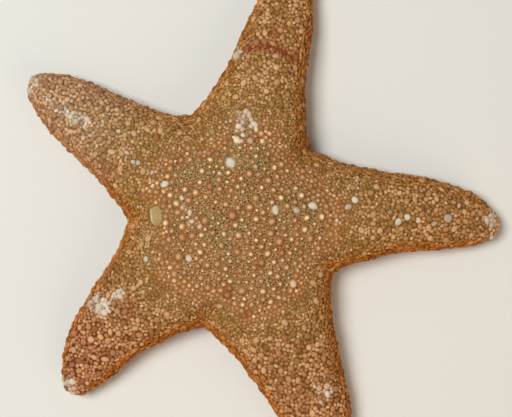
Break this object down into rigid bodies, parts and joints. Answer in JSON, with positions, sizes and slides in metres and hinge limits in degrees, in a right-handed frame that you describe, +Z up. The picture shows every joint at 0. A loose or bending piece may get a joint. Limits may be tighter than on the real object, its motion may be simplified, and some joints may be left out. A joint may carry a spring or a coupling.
{
  "type": "dried sea star",
  "caption": "Life-size dried sea star lying on its underside: a domed disc and blunt rounded arms under a close coat of small tubercles, with a mouth and furrows below. Still display model.",
  "frame": {"origin": "on the floor under the middle of the star's box, seen from above; the disc's centre is 8 mm towards -X and 1 mm towards +Y of it", "axes": "+Z up, out of the star's upper side; +X along the arm opposite the madreporite; +Y across, roughly along the arm next to it anticlockwise"},
  "size_m": [0.1616, 0.171, 0.0279],
  "materials": {
    "disc_skin": "matt dry skin with peach tubercles on an olive-tan porous ground",
    "arm_skin": "matt dry skin with close orange-tan grains and paler worn knobs",
    "arm_tip_skin": "matt, worn pale knobs",
    "mouth_plates": "matt, pale jaw plates and short blunt spines",
    "madreporite": "matt cream-olive, finely grooved"
  },
  "bodies": {
    "root": {"disc": "disc_skin", "mouth_frame": "mouth_plates", "madreporite": "madreporite", "arm_a_inner": "arm_skin", "arm_a_outer": "arm_skin", "arm_a_tip": "arm_tip_skin", "arm_b_inner": "arm_skin", "arm_b_outer": "arm_skin", "arm_b_tip": "arm_tip_skin", "arm_c_inner": "arm_skin", "arm_c_outer": "arm_skin", "arm_c_tip": "arm_tip_skin", "arm_d_inner": "arm_skin", "arm_d_outer": "arm_skin", "arm_d_tip": "arm_tip_skin", "arm_e_inner": "arm_skin", "arm_e_outer": "arm_skin", "arm_e_tip": "arm_tip_skin"}
  },
  "joints": []
}
